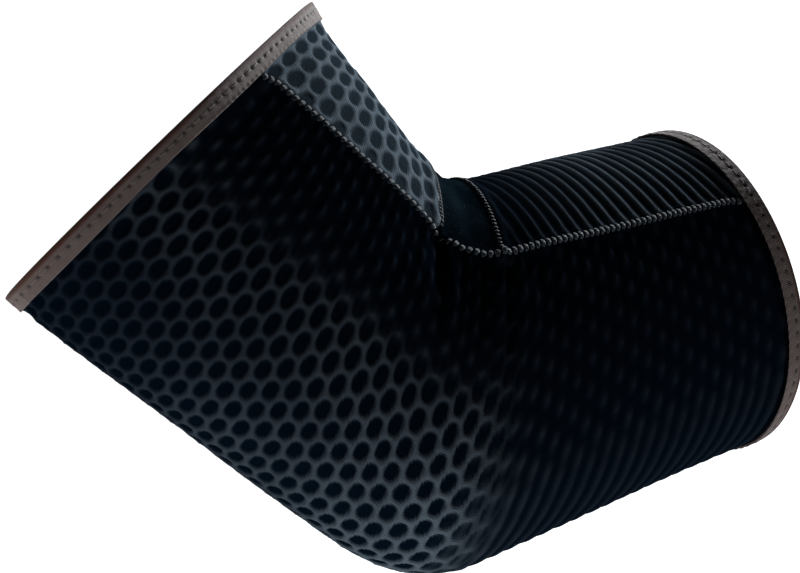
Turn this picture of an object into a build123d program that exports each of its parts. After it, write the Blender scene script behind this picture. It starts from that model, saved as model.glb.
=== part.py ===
"""A bent elbow sleeve of honeycomb neoprene, lying on its side: panels, seams and bound openings.

Millimetres, +Z up, with the origin under the middle of the sleeve on the surface it lies on.
The sleeve bends in the XY plane: the crook faces +Y, the point of the elbow faces -Y, the upper
arm opening is at -X and the forearm opening at +X.

Every cross-section is an ellipse in an upright plane that runs from the crook line to the elbow
line. A station u picks that plane: 0 to 1 is the upper arm's cuff, 1 to 2 the rest of the upper
arm, 2 to 3 the bend, 3 to 4 the forearm and 4 to 5 the forearm's cuff. On the ellipse, 0 degrees
is the elbow side, 90 the top and 180 the crook side.
"""

import os
from math import cos, degrees, radians, sin, tan

from build123d import *

os.makedirs("parts", exist_ok=True)

# ---- The bend in plan: two straight lines with a rounded corner on each side ----
crook_corner = Vector(-7.16, 32.87)
upper_crook_heading, upper_crook_length = 142.0, 65.0
forearm_crook_heading, forearm_crook_length = 38.0, 96.0
crook_radius = 14.0

elbow_corner = crook_corner + Vector(16.0, -130.0)
upper_back_heading, upper_back_length = 164.6, 137.0
forearm_back_heading, forearm_back_length = 41.0, 151.5
elbow_radius = 42.0

cuff_length = 10.0  # over this length from each opening, the sections stay parallel to it
crook_panel_edges = 2.0, 2.78  # the stations of its two seams

# ---- Half the sleeve's height, and how far it stands off the floor, at stations 0, 2, 3 and 5 ----
half_heights = (34.0, 32.0, 33.5, 35.0)
floor_gaps = (0.3, -0.5, -0.5, 0.3)  # below zero, the soft underside is pressed flat

# ---- The laminate, as rises over the outer face of the cloth ----
face_fabric = (0.0, -0.8)
foam_core = (-0.9, -2.9)
lining = (-3.0, -3.5)
crook_knit = (-0.3, -1.5)

# ---- Seams: the side seams' angle at stations 0, 2, 3 and 5 ----
seam_angles = (97.0, 109.0, 111.0, 102.0)
seam_gap = 0.3  # between two panels' cut edges
seam_width = 3.6
cover_thread = (0.45, 0.05)
looper_thread = (-3.55, -3.95)

# ---- Binding tape, folded over each opening's edge ----
binding_width = 6.0
binding_face, binding_back = 0.8, -4.3
binding_slot = (0.1, -3.6)
binding_fold = 0.7  # thickness of the tape across the cut edge
stitch_from_edge = 3.0
stitch_width = 0.9
needle_thread = (0.75, 0.45)
bobbin_thread = (-3.95, -4.25)
stitch_groove = 0.05  # clearance round each thread


def heading(angle):
    return Vector(cos(radians(angle)), sin(radians(angle)))


def lerp(a, b, fraction):
    return a + (b - a) * fraction


class BendLine:
    """A straight line, a round corner and another straight line, in plan."""

    def __init__(self, corner, first_heading, first_length, last_heading, last_length, radius):
        first, last = heading(first_heading), heading(last_heading)
        half_corner = radians(abs(first_heading - last_heading)) / 2
        tangent = radius / tan(half_corner)
        self.ends = corner + first * first_length, corner + last * last_length
        self.inward = first * -1, last * -1
        self.lengths = first_length - tangent, last_length - tangent
        self.centre = corner + (first + last).normalized() * (radius / sin(half_corner))
        self.radius = radius
        # the round part runs from one tangent point to the other, about its centre
        self.first_spoke = (corner + first * tangent - self.centre).normalized()
        self.turn = 180.0 - degrees(2 * half_corner)

    def point(self, u):
        if u <= 2:
            return self.straight(u, 0)
        if u >= 3:
            return self.straight(5 - u, 1)
        side = 1 if self.first_spoke.cross(self.inward[0]).Z > 0 else -1
        spoke = self.first_spoke.rotate(Axis.Z, side * self.turn * (u - 2))
        return self.centre + spoke * self.radius

    def straight(self, u, end):
        rest = self.lengths[end] - cuff_length
        distance = cuff_length * min(u, 1) + rest * max(u - 1, 0)
        return self.ends[end] + self.inward[end] * distance


crook_line = BendLine(
    crook_corner,
    upper_crook_heading,
    upper_crook_length,
    forearm_crook_heading,
    forearm_crook_length,
    crook_radius,
)
elbow_line = BendLine(
    elbow_corner,
    upper_back_heading,
    upper_back_length,
    forearm_back_heading,
    forearm_back_length,
    elbow_radius,
)


def along(values, u):
    """Interpolate four values, given at stations 0, 2, 3 and 5."""
    if u <= 2:
        return lerp(values[0], values[1], u / 2)
    if u <= 3:
        return lerp(values[1], values[2], u - 2)
    return lerp(values[2], values[3], (u - 3) / 2)


def half_width(u):
    return (elbow_line.point(u) - crook_line.point(u)).length / 2


def section_plane(u):
    crook, elbow = crook_line.point(u), elbow_line.point(u)
    height = along(half_heights, u) + along(floor_gaps, u)
    across = (elbow - crook).normalized()
    return Plane(
        origin=(crook + elbow) / 2 + Vector(0, 0, height),
        x_dir=across,
        z_dir=across.cross(Vector(0, 0, 1)),
    )


def wall_strip(u, rises, start, sweep):
    """Part of the wall's cross-section at a station, between two rises and across an angle."""
    wide, high = half_width(u), along(half_heights, u)
    upper, lower = rises
    with BuildSketch(section_plane(u)) as strip:
        with BuildLine():
            over = EllipticalCenterArc((0, 0), wide + upper, high + upper, start, arc_size=sweep)
            under = EllipticalCenterArc((0, 0), wide + lower, high + lower, start, arc_size=sweep)
            Line(over @ 0, under @ 0)
            Line(over @ 1, under @ 1)
        make_face()
    return strip.sketch


def wall_ring(u, rises):
    """The whole cross-section of the wall at a station, between two rises."""
    wide, high = half_width(u), along(half_heights, u)
    with BuildSketch(section_plane(u)) as ring:
        Ellipse(wide + max(rises), high + max(rises))
        Ellipse(wide + min(rises), high + min(rises), mode=Mode.SUBTRACT)
    return ring.sketch


def stations(first, last):
    """The stations to loft through: a few on the straight stretches and eight in the bend."""
    knots = [0.6, 1, 1.25, 1.5, 1.75] + [2 + k / 8 for k in range(9)] + [3.25, 3.5, 3.75, 4, 4.4]
    return [first] + [u for u in knots if first < u < last] + [last]


def degrees_of(length, u):
    """The angle that a short length round the section covers near its top and bottom."""
    return degrees(length / half_width(u))


def back_arc(u):
    edge = along(seam_angles, u) - degrees_of(seam_gap / 2, u)
    return -edge, 2 * edge


def front_arc(u):
    edge = along(seam_angles, u) + degrees_of(seam_gap / 2, u)
    return edge, 360 - 2 * edge


pieces = []


def save(builder, name):
    builder.part.label = name
    export_step(builder.part, f"parts/{name}.step")
    pieces.append(builder.part)


# ---- The panels: each is a laminate of face fabric, foam core and lining ----
cut_edge = (binding_fold + 0.1) / cuff_length  # the panels stop inside the binding's fold
hoop_gap = 0.005  # in stations, about 0.2 mm before the crook panel
crook_inset = 0.01  # in stations of the bend, about 0.2 mm
panels = {
    "back_panel": (cut_edge, 5 - cut_edge, back_arc),
    "upper_front_panel": (cut_edge, crook_panel_edges[0] - hoop_gap, front_arc),
    "forearm_front_panel": (crook_panel_edges[1] + crook_inset, 5 - cut_edge, front_arc),
}
plies = {"face_fabric": face_fabric, "foam_core": foam_core, "lining": lining}

for panel, (first, last, arc) in panels.items():
    for ply, rises in plies.items():
        with BuildPart() as panel_ply:
            loft([wall_strip(u, rises, *arc(u)) for u in stations(first, last)], ruled=True)
            split(bisect_by=Plane.XY, keep=Keep.TOP)
        save(panel_ply, f"{panel}_{ply}")

# ---- The crook panel: one ply of stretch knit, set in between the two front panels ----
with BuildPart() as crook_panel_knit:
    crook_stations = stations(crook_panel_edges[0] + crook_inset, crook_panel_edges[1] - crook_inset)
    loft([wall_strip(u, crook_knit, *front_arc(u)) for u in crook_stations], ruled=True)
save(crook_panel_knit, "crook_panel_knit")

# ---- The two side seams: flat seams from one binding to the other, threaded on both faces ----
seam_start = (binding_width + 0.2) / cuff_length
seam_threads = {"cover_thread": cover_thread, "looper_thread": looper_thread}

for side, sign in {"top": 1, "under": -1}.items():
    for thread, rises in seam_threads.items():
        with BuildPart() as seam_thread:
            sections = []
            for u in stations(seam_start, 5 - seam_start):
                sweep = degrees_of(seam_width, u)
                start = sign * along(seam_angles, u) - sweep / 2
                sections.append(wall_strip(u, rises, start, sweep))
            loft(sections, ruled=True)
        save(seam_thread, f"{side}_side_seam_{thread}")

# ---- The two seams across the crook, where the knit meets the front panels ----
# The cover thread spans both cloths, and the looper thread holds the thicker panel's edge.
leg_reach, bend_reach = 0.045, 0.09  # in stations, about half the seam's width each
corner_clearance = 0.4  # from the side seams' threads
crook_seams = {"upper": (-leg_reach, bend_reach), "forearm": (bend_reach, -bend_reach)}

for (end, (to_panel, to_knit)), edge in zip(crook_seams.items(), crook_panel_edges):
    on_panel, on_knit = edge + to_panel, edge + to_knit
    for thread, rises in seam_threads.items():
        reaches = (on_panel, edge, on_knit) if thread == "cover_thread" else (on_panel, edge)
        with BuildPart() as crook_thread:
            sections = []
            for u in reaches:
                start = along(seam_angles, u) + degrees_of(seam_width / 2 + corner_clearance, u)
                sections.append(wall_strip(u, rises, start, 360 - 2 * start))
            loft(sections, ruled=True)
        save(crook_thread, f"crook_{end}_seam_{thread}")

# ---- The binding tapes, and the row of stitches along the middle of each ----
groove_from = (stitch_from_edge - stitch_width / 2 - stitch_groove) / cuff_length
groove_to = (stitch_from_edge + stitch_width / 2 + stitch_groove) / cuff_length
thread_from = (stitch_from_edge - stitch_width / 2) / cuff_length
thread_to = (stitch_from_edge + stitch_width / 2) / cuff_length
overrun = 0.1  # in stations: cutting shapes run past the tape's own faces


def cuff_pair(opening, near_edge, far_edge, rises):
    """Rings at two distances from an opening, given as stations of its cuff."""
    return [wall_ring(abs(opening - u), rises) for u in (near_edge, far_edge)]


for name, opening in {"upper": 0, "forearm": 5}.items():
    tape_end = binding_width / cuff_length
    with BuildPart() as binding_tape:
        loft(cuff_pair(opening, 0, tape_end, (binding_face, binding_back)), ruled=True)
        slot = cuff_pair(opening, binding_fold / cuff_length, tape_end + overrun, binding_slot)
        loft(slot, ruled=True, mode=Mode.SUBTRACT)
        outer_groove = (binding_face + 0.2, needle_thread[1] - stitch_groove)
        loft(cuff_pair(opening, groove_from, groove_to, outer_groove), ruled=True, mode=Mode.SUBTRACT)
        inner_groove = (bobbin_thread[0] + stitch_groove, binding_back - 0.2)
        loft(cuff_pair(opening, groove_from, groove_to, inner_groove), ruled=True, mode=Mode.SUBTRACT)
        split(bisect_by=Plane.XY, keep=Keep.TOP)
    save(binding_tape, f"{name}_binding_tape")

    for thread, rises in {"needle_thread": needle_thread, "bobbin_thread": bobbin_thread}.items():
        with BuildPart() as binding_thread:
            loft(cuff_pair(opening, thread_from, thread_to, rises), ruled=True)
            split(bisect_by=Plane.XY, keep=Keep.TOP)
        save(binding_thread, f"{name}_binding_{thread}")

whole = Compound(children=pieces).bounding_box()
print("pieces:", len(pieces), "size:", whole.size, "middle:", whole.center())
for name, u in {"upper arm": 0, "forearm": 5}.items():
    print(f"{name} opening: {2 * half_width(u):.1f} mm wide when laid flat, {section_plane(u)}")
print("middle of the bend:", (crook_line.point(2.5) + elbow_line.point(2.5)) / 2)
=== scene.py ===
# %% [markdown]
# # A bent elbow sleeve in honeycomb neoprene
#
# The real sleeve is a tube of padded cloth, sewn from three panels and a small stretch panel in
# the crook of the arm. It lies on its side, half bent, as it would after being taken off. Each
# panel is a sandwich: an embossed outer cloth, a sheet of soft foam and a thin lining. Flat seams
# join the panels, and a folded tape binds both openings.
#
# The frame brings in the measured solids first. Everything made here goes where they are.

import bpy
import numpy as np
from mathutils import Matrix, Vector


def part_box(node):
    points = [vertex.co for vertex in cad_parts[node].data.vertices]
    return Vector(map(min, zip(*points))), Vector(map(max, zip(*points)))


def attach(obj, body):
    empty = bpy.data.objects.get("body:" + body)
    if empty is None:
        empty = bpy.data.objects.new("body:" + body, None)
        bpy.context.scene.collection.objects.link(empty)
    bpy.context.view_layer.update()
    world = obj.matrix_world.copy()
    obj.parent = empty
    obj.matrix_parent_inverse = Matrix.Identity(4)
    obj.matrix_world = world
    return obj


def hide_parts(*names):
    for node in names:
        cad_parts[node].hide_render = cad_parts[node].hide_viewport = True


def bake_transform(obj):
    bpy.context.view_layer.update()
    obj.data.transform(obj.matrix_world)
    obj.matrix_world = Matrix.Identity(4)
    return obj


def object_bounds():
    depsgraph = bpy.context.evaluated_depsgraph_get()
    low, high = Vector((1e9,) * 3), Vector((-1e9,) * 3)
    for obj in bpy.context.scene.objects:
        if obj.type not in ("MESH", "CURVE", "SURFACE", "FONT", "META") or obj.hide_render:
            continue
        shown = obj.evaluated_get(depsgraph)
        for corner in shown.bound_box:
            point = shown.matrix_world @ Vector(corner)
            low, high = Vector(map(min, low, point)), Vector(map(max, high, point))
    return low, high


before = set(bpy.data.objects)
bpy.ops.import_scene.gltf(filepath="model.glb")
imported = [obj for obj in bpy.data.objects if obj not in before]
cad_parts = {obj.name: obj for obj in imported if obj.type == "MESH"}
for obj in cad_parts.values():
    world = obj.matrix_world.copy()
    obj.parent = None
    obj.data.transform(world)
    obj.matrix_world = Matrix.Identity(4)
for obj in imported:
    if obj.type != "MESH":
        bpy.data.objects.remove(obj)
cad_low, cad_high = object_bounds()
MM = 0.001  # the sleeve is measured in millimetres, and Blender works in metres
print("CAD box in mm:", [round(v / MM, 1) for v in cad_high - cad_low])

# %% [markdown]
# ## The camera
#
# A long lens keeps the sleeve's proportions honest. The camera stands off to one side, looks half
# down and is tilted, so that the forearm lies level in the frame and the upper arm climbs to the
# left. The aim is a point in the middle of the bend, measured from the box of the whole sleeve.

# %% Camera
CAMERA_TURN, CAMERA_RISE, CAMERA_TILT = np.radians((-32.2, 45.3, 49.3))
CAMERA_DISTANCE = 0.7123
CAMERA_LENS = 110.55
AIM_FROM_MIDDLE = Vector((-11.1, -5.5, 34.0)) * MM

back = Vector(
    (
        np.sin(CAMERA_TURN) * np.cos(CAMERA_RISE),
        -np.cos(CAMERA_TURN) * np.cos(CAMERA_RISE),
        np.sin(CAMERA_RISE),
    )
)
level = Vector((np.cos(CAMERA_TURN), np.sin(CAMERA_TURN), 0))
upright = back.cross(level)
picture_right = level * np.cos(CAMERA_TILT) + upright * np.sin(CAMERA_TILT)
picture_up = upright * np.cos(CAMERA_TILT) - level * np.sin(CAMERA_TILT)

box_middle = (cad_low + cad_high) / 2
aim = Vector((box_middle.x, box_middle.y, cad_low.z)) + AIM_FROM_MIDDLE
camera_data = bpy.data.cameras.new("sleeve_camera")
camera_data.lens, camera_data.sensor_width = CAMERA_LENS, 36.0
camera = bpy.data.objects.new("sleeve_camera", camera_data)
bpy.context.scene.collection.objects.link(camera)
turned = Matrix((picture_right, picture_up, back)).transposed().to_4x4()
camera.matrix_world = Matrix.Translation(aim + back * CAMERA_DISTANCE) @ turned
bpy.context.scene.camera = camera
print("camera at", [round(v, 3) for v in camera.matrix_world.translation])

# %% [markdown]
# ## The table and the light
#
# Black cloth on a white ground is usually shot on a lit table: the floor glows a little by itself,
# so it stays white while the lights can be low and from the side. Low light matters here, because
# it skims over the embossed cells and leaves the top of the tube dark. A wide, low strip lights the
# crook side and a much weaker one the elbow side. A small lamp close by glows on the point of the
# elbow, and a soft one stands out past the wrist. The backdrop is pale to look at, but it gives
# the cloth only a little light.

# %% Floor and lights
FLOOR_HALF = 3.0
ELBOW_POINT = aim + Vector((15.0, -84.0, 1.0)) * MM
LAMPS = (  # name, aim, heading and rise in degrees, distance, power in watts, width, height, colour
    ("key_on_the_crook_side", aim, 60.0, 2.6, 1.1, 46.0, 0.8, 0.08, (0.90, 0.96, 1.0)),
    ("fill_on_the_elbow_side", aim, -118.0, 5.0, 1.1, 4.2, 0.6, 0.15, (0.88, 0.94, 1.0)),
    ("glow_at_the_elbow", ELBOW_POINT, -97.0, 14.0, 0.15, 0.26, 0.10, 0.05, (0.90, 0.96, 1.0)),
    ("soft_light_past_the_wrist", aim, -30.0, 20.0, 1.1, 8.0, 0.4, 0.2, (0.9, 0.95, 1.0)),
)
FLOOR_DROP = 0.2 * MM  # the table is just under the sleeve, so that the two don't share a face
FLOOR_WHITE, FLOOR_GLOW = (0.82, 0.82, 0.83, 1), 0.92
BACKDROP_SEEN, BACKDROP_LIGHT = 0.95, 0.03


def new_material(name):
    """An empty node material with its output, its Principled shader and its node tree."""
    material = bpy.data.materials.new(name)
    material.use_nodes = True
    tree = material.node_tree
    shader = tree.nodes["Principled BSDF"]
    return material, tree, shader


def area_light(name, target, turn, rise, distance, power, width, height, colour):
    """A flat lamp at a heading and a rise in degrees and a distance, turned towards its target."""
    lamp_data = bpy.data.lights.new(name, "AREA")
    lamp_data.shape, lamp_data.size, lamp_data.size_y = "RECTANGLE", width, height
    lamp_data.energy, lamp_data.color = power, colour
    lamp = bpy.data.objects.new(name, lamp_data)
    bpy.context.scene.collection.objects.link(lamp)
    lamp.visible_camera = False
    turn, tip = np.radians(turn), np.radians(rise)
    away = Vector((np.cos(turn) * np.cos(tip), np.sin(turn) * np.cos(tip), np.sin(tip)))
    lamp.location = target + away * distance
    lamp.rotation_euler = (-away).to_track_quat("-Z", "Y").to_euler()


floor_mesh = bpy.data.meshes.new("floor")
corners = [(-FLOOR_HALF, -FLOOR_HALF), (FLOOR_HALF, -FLOOR_HALF)]
corners += [(FLOOR_HALF, FLOOR_HALF), (-FLOOR_HALF, FLOOR_HALF)]
floor_mesh.from_pydata([(x, y, cad_low.z - FLOOR_DROP) for x, y in corners], [], [(0, 1, 2, 3)])
floor = bpy.data.objects.new("floor", floor_mesh)
bpy.context.scene.collection.objects.link(floor)
floor_paint, floor_tree, floor_shader = new_material("pale_table")
floor_shader.inputs["Base Color"].default_value = FLOOR_WHITE
floor_shader.inputs["Roughness"].default_value = 0.9
floor_shader.inputs["Emission Color"].default_value = (1, 1, 1, 1)
floor_shader.inputs["Emission Strength"].default_value = FLOOR_GLOW
floor_mesh.materials.append(floor_paint)

for lamp in LAMPS:
    area_light(*lamp)
world = bpy.data.worlds.new("studio")
world.use_nodes = True
sky = world.node_tree
backdrop = sky.nodes["Background"]
backdrop.inputs["Color"].default_value = (0.97, 0.98, 1.0, 1)
ray, strength = sky.nodes.new("ShaderNodeLightPath"), sky.nodes.new("ShaderNodeMapRange")
strength.inputs["To Min"].default_value = BACKDROP_LIGHT
strength.inputs["To Max"].default_value = BACKDROP_SEEN
sky.links.new(ray.outputs["Is Camera Ray"], strength.inputs["Value"])
sky.links.new(strength.outputs[0], backdrop.inputs["Strength"])
bpy.context.scene.world = world
bpy.context.scene.view_settings.view_transform = "Standard"

# %% [markdown]
# ## The shape of the tube
#
# Seen from above, a bent sleeve is two straight legs with a tight corner in the crook and a wide
# one round the elbow. A station u says how far along the tube a section stands: 0 to 1 is the
# upper arm's cuff, 1 to 2 the rest of the upper arm, 2 to 3 the bend, 3 to 4 the forearm and 4 to
# 5 its cuff. Each section is an ellipse from the crook line to the elbow line. An angle says where
# a point is on it: 0 degrees faces the elbow, 90 is the top and 180 faces the crook.
#
# Sculpting or a cloth simulation could give the same tube, but a formula keeps every ply, seam and
# thread on exactly the same curve, and on the frame's solids.

# %% Dimensions
CROOK_CORNER = np.array((-7.16, 32.87))
UPPER_CROOK, FOREARM_CROOK, CROOK_RADIUS = (142.0, 65.0), (38.0, 96.0), 14.0
ELBOW_CORNER = CROOK_CORNER + (16.0, -130.0)
UPPER_BACK, FOREARM_BACK, ELBOW_RADIUS = (164.6, 137.0), (41.0, 151.5), 42.0
CUFF = 10.0
CROOK_EDGES = (2.0, 2.78)  # the stations of the crook panel's two seams
MOUTH_HEADING, MOUTH_BULGE = 39.5, 3.2  # the forearm opening's rim leans out a little at the top
KEY_STATIONS = (0, 2, 3, 5)
HALF_HEIGHTS = (34.0, 32.0, 33.5, 35.0)
FLOOR_GAPS = (0.3, -0.5, -0.5, 0.3)
SEAM_ANGLES = (97.0, 109.0, 111.0, 102.0)

# %% The two lines and the wall
def heading(angle):
    return np.array((np.cos(np.radians(angle)), np.sin(np.radians(angle))))


def bend_line(corner, first_leg, last_leg, radius):
    """A function from stations to points of a line in plan: straight, round corner, straight."""
    (first_angle, first_length), (last_angle, last_length) = first_leg, last_leg
    first, last = heading(first_angle), heading(last_angle)
    half_corner = np.radians(abs(first_angle - last_angle)) / 2
    tangent = radius / np.tan(half_corner)
    both = first + last
    centre = corner + both / np.linalg.norm(both) * radius / np.sin(half_corner)
    spoke_in, spoke_out = corner + first * tangent - centre, corner + last * tangent - centre
    start = np.arctan2(spoke_in[1], spoke_in[0])
    turn = np.arctan2(spoke_out[1], spoke_out[0]) - start
    turn = (turn + np.pi) % (2 * np.pi) - np.pi

    def leg(direction, length, steps):
        walked = CUFF * np.minimum(steps, 1)
        walked = walked + (length - tangent - CUFF) * np.maximum(steps - 1, 0)
        return corner + direction * (length - walked)[..., None]

    def point(u):
        u = np.asarray(u, float)
        angle = start + turn * (np.clip(u, 2, 3) - 2)
        arc = centre + radius * np.stack((np.cos(angle), np.sin(angle)), -1)
        upper, forearm = leg(first, first_length, u), leg(last, last_length, 5 - u)
        u = u[..., None]
        return np.where(u < 2, upper, np.where(u > 3, forearm, arc))

    return point


crook_line = bend_line(CROOK_CORNER, UPPER_CROOK, FOREARM_CROOK, CROOK_RADIUS)
elbow_line = bend_line(ELBOW_CORNER, UPPER_BACK, FOREARM_BACK, ELBOW_RADIUS)


def half_width(u):
    return np.linalg.norm(elbow_line(u) - crook_line(u), axis=-1) / 2


def half_height(u):
    return np.interp(u, KEY_STATIONS, HALF_HEIGHTS)


def seam_angle(u):
    return np.interp(u, KEY_STATIONS, SEAM_ANGLES)


def smooth(value, low, high):
    """0 below low, 1 above high, and an even curve between them."""
    t = np.clip((np.asarray(value, float) - low) / (high - low), 0, 1)
    return t * t * (3 - 2 * t)


PRESSED = 0.12  # how softly the underside flattens on the table


def pressed(height):
    """Heights in mm, with everything that would sink into the table flattened on it."""
    return (height + np.sqrt(height * height + 4 * PRESSED**2)) / 2


def wall(u, angle, rise):
    """Points in mm at stations, angles in degrees and rises over the outer face of the cloth."""
    u, angle, rise = np.broadcast_arrays(*(np.asarray(v, float) for v in (u, angle, rise)))
    crook, elbow = crook_line(u), elbow_line(u)
    wide, high = half_width(u), half_height(u)
    across = (elbow - crook) / (2 * wide)[..., None]
    out = ((wide + rise) * np.cos(np.radians(angle)))[..., None]
    lean = MOUTH_BULGE * smooth(np.sin(np.radians(angle)), 0, 1) * smooth(u, 3.4, 5)
    plan = (crook + elbow) / 2 + across * out + heading(MOUTH_HEADING) * lean[..., None]
    z = high + np.interp(u, KEY_STATIONS, FLOOR_GAPS)
    z = pressed(z + (high + rise) * np.sin(np.radians(angle)))
    return np.concatenate((plan, z[..., None]), -1)


for place, u in {"upper arm opening": 0.0, "bend": 2.5, "forearm opening": 5.0}.items():
    print(place, "half width", round(float(half_width(u)), 1), "half height", float(half_height(u)))

# %% [markdown]
# ## Measuring along the cloth
#
# A pattern printed or pressed into cloth keeps its size, so it has to be laid out in real lengths,
# not in degrees. One helper turns the girth from the elbow side into angles, and another gives the
# length along the tube at a chosen angle. Both just add up short straight steps.

# %% Girth and length
GIRTH_STEP = 0.5  # degrees


def girth_tables(u):
    """For each station, the angles from 0 to 180 and the girth in mm from 0 to each of them."""
    angles = np.arange(0, 180 + GIRTH_STEP, GIRTH_STEP)
    middle = np.radians((angles[1:] + angles[:-1]) / 2)
    wide, high = half_width(u)[:, None], half_height(u)[:, None]
    steps = np.hypot(wide * np.sin(middle), high * np.cos(middle)) * np.radians(GIRTH_STEP)
    girth = np.concatenate((np.zeros((len(u), 1)), np.cumsum(steps, 1)), 1)
    return angles, girth


def length_along(u, angle):
    """The length in mm from the first station to each of them, on the line at one angle."""
    steps = np.linalg.norm(np.diff(wall(u, angle, 0.0), axis=0), axis=1)
    return np.concatenate(([0.0], np.cumsum(steps)))


every_station = np.linspace(0, 5, 2001)
tube_length = length_along(every_station, 40.0)
print("length along the back panel:", round(tube_length[-1], 1), "mm")
print("girth at the openings:", [round(2 * girth_tables(np.array([u]))[1][0, -1], 1) for u in (0.0, 5.0)])

# %% [markdown]
# ## The honeycomb
#
# The outer cloth is embossed with six-sided cells in rows round the arm, every second row set off
# by half a cell. The ridges stand about 0.6 mm over the cell floors and are a little higher where
# three of them meet, which catches the light as a dot. Where the cloth is slack, near one seam and
# on the forearm, the cells close up. Only the walls between them stand up there, as short dashes,
# and on much of the forearm the dashes join into rings. Under the seam only the dashes keep the
# ridge colour, which paints shade on that band.
#
# A bump map would be cheaper, but cells this large show on the outline and in raking light, so
# they are real relief in a fine grid. The rows of the grid are counted in rows of cells, which
# keeps every cell the same shape.

# %% Honeycomb relief
CELL_DEPTH = 0.62
NODE_RISE = 0.22
CELL_ROUNDNESS = 2.2
CELL_HALF_LENGTH = 0.37  # in rows
CELL_HALF_ACROSS = 0.36  # in cells
RIDGE_FOOT, RIDGE_TOP = 0.98, 1.34
DASH_HALF_ACROSS, DASH_HALF_ALONG = 0.26, 0.23  # in cells and in rows
NODE_FOOT, NODE_TOP = 1.46, 1.72


def cell_distance(row, column, half_across):
    """1 on the rim of the nearest cell's floor and more outside it, in a staggered lattice."""
    nearest = np.full(np.broadcast(row, column).shape, 1e9)
    for step in (0, 1):
        line = np.floor(row) + step
        across = column + 0.5 * (line % 2)
        across = np.abs(across - np.round(across)) / half_across
        along = np.abs(row - line) / CELL_HALF_LENGTH
        distance = (across**CELL_ROUNDNESS + along**CELL_ROUNDNESS) ** (1 / CELL_ROUNDNESS)
        nearest = np.minimum(nearest, distance)
    return nearest


def honeycomb(row, column):
    """(ridge, node): 0 on a cell's floor to 1 on the ridges, and 1 only where ridges meet."""
    distance = cell_distance(row, column, CELL_HALF_ACROSS)
    return smooth(distance, RIDGE_FOOT, RIDGE_TOP), smooth(distance, NODE_FOOT, NODE_TOP)


def dashes(row, column, joined):
    """1 between two cells of a row and 0 away from there. Where joined is 1 they make a ring."""
    highest = np.zeros(np.broadcast(row, column).shape)
    for step in (0, 1):
        line = np.floor(row) + step
        across = column + 0.5 * (line % 2)
        off_wall = (0.5 - np.abs(across - np.round(across))) / (DASH_HALF_ACROSS + joined)
        along = (row - line) / DASH_HALF_ALONG
        highest = np.maximum(highest, np.exp(-(off_wall**2) - along**2))
    return highest


# %% [markdown]
# ## Folds and creases
#
# Cloth that bends round a corner gathers on the inside. Here two creases start at the corners of
# the crook panel and run down the back panel, and a few softer ones fan out from them. The legs
# also sag and swell a little between the seams. All plies fold together, so one function gives the
# rise or dip for any point of the wall.
#
# Each crease is a short path over the wall. A point's dip depends on how near the path it is.

# %% Creases
# each crease: its path as (station, angle) points, its half width in mm and its depth in mm
CREASES = (
    (((2.00, 110), (2.04, 100), (2.06, 88), (2.05, 76)), 2.6, 1.9),
    (((2.78, 111), (2.75, 103), (2.73, 95)), 1.3, -1.2),
    (((2.83, 106), (2.80, 94), (2.77, 80), (2.74, 66)), 2.2, 1.4),
    (((2.30, 108), (2.30, 96), (2.26, 82)), 3.2, 1.2),
    (((2.55, 108), (2.52, 94), (2.48, 74)), 3.2, 1.1),
    (((1.90, 104), (1.82, 92), (1.72, 78)), 4.5, 0.8),
    (((3.05, 106), (3.12, 92), (3.18, 76)), 4.5, 0.8),
    (((2.17, 104), (2.17, 90), (2.15, 74)), 2.4, -0.7),
    (((2.00, -110), (2.05, -98), (2.05, -84)), 3.0, 1.2),
    (((2.78, -110), (2.74, -98), (2.70, -84)), 3.0, 1.2),
)
# each swell: its height in mm, how fast it waves along and round the tube, and its phase
SWELLS = ((0.30, 1.3, 2.0, 0.4), (0.28, 2.1, 3.0, 1.9), (0.18, 4.7, 5.0, 0.8))
SWELL_FADE = (0.3, 1.3)  # stations from either opening, which the tapes hold smooth
SEAM_ROLL, SEAM_ROLL_WIDTH = 0.55, 3.0  # the thick edges stand up a little along the side seams
SEAM_ROLL_FADE = (0.6, 1.4)


def near_path(points, path):
    """For each point, its distance in mm to a path over the wall, and how far along it is."""
    knots = np.array(path, float)
    shares = np.linspace(0, len(knots) - 1, 25)
    u = np.interp(shares, range(len(knots)), knots[:, 0])
    angle = np.interp(shares, range(len(knots)), knots[:, 1])
    line = wall(u, angle, 0.0)
    best, share = np.full(len(points), 1e9), np.zeros(len(points))
    for k in range(len(line) - 1):
        piece = line[k + 1] - line[k]
        t = np.clip((points - line[k]) @ piece / (piece @ piece), 0, 1)
        distance = np.linalg.norm(points - line[k] - t[:, None] * piece, axis=1)
        closer = distance < best
        best = np.where(closer, distance, best)
        share = np.where(closer, (k + t) / (len(line) - 1), share)
    return best, share


def folds(u, angle):
    """The rise in mm that folding and sagging add to every ply at these stations and angles."""
    u, angle = np.broadcast_arrays(np.asarray(u, float), np.asarray(angle, float))
    rise = np.zeros(u.shape)
    for size, along, around, phase in SWELLS:
        rise += size * np.sin(along * u * 2 + phase) * np.sin(np.radians(around * angle) + phase)
    rise *= smooth(u, *SWELL_FADE) * smooth(5 - u, *SWELL_FADE)
    rise *= 1 - 0.7 * smooth(-angle, 60, 90) * smooth(angle, -130, -100)
    off_seam = (np.abs(angle) - seam_angle(u)) * np.radians(half_width(u))
    roll = SEAM_ROLL * np.exp(-((off_seam / SEAM_ROLL_WIDTH) ** 2))
    rise += roll * smooth(u, *SEAM_ROLL_FADE) * smooth(5 - u, *SEAM_ROLL_FADE)
    points = wall(u, angle, 0.0).reshape(-1, 3)
    for path, wide, deep in CREASES:
        distance, share = near_path(points, path)
        fade = 1 - smooth(share, 0.35, 1.0)
        dip = deep * fade * np.exp(-((distance / wide) ** 2))
        rise -= dip.reshape(u.shape)
    return rise


crease_check = folds(np.array([2.03, 1.2]), np.array([102.0, 60.0]))
print("rise in the deepest crease and on the upper arm:", crease_check.round(2), "mm")

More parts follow.
